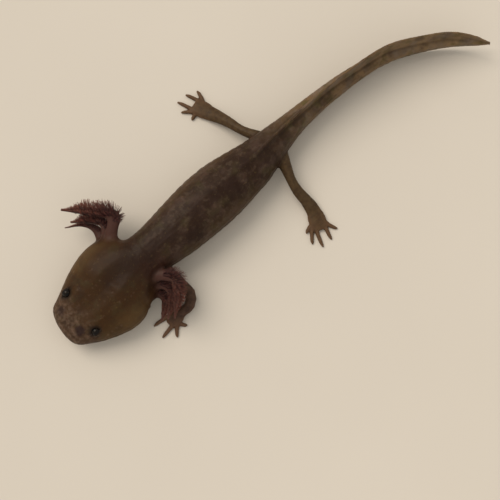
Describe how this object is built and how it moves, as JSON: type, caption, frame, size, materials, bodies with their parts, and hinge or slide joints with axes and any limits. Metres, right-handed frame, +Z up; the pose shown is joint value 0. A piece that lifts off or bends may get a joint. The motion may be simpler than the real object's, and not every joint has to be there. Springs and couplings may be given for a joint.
{
  "type": "axolotl",
  "caption": "Life-size still model of a young axolotl standing low on its feet and belly, feathery gills swept forward, tail curved to its left.",
  "frame": {"origin": "the floor point under the middle of the trunk, on the belly's flat", "axes": "the head points along -Y, the animal's left side is +X, +Z is up from the floor"},
  "size_m": [0.0587, 0.1451, 0.0147],
  "materials": {
    "skin": "moist satin skin, dark olive brown with soft darker blotches",
    "gill": "moist dark red purple filaments on soft stalks",
    "eye": "glossy black, with a fine pale ring round the pupil"
  },
  "bodies": {
    "root": {"head": "skin", "lower_jaw": "skin", "eye_left": "eye", "eye_right": "eye", "neck": "skin", "chest": "skin", "belly": "skin", "hips": "skin", "tail_base": "skin", "tail_middle": "skin", "tail_end": "skin", "tail_tip": "skin", "dorsal_fin_trunk": "skin", "dorsal_fin_hips": "skin", "dorsal_fin_tail": "skin", "ventral_fin_front": "skin", "ventral_fin_rear": "skin", "arm_upper_left": "skin", "forearm_left": "skin", "hand_left": "skin", "arm_upper_right": "skin", "forearm_right": "skin", "hand_right": "skin", "thigh_left": "skin", "shin_left": "skin", "foot_left": "skin", "thigh_right": "skin", "shin_right": "skin", "foot_right": "skin", "gill_left_upper": "gill", "gill_left_middle": "gill", "gill_left_lower": "gill", "gill_right_upper": "gill", "gill_right_middle": "gill", "gill_right_lower": "gill"}
  },
  "joints": []
}
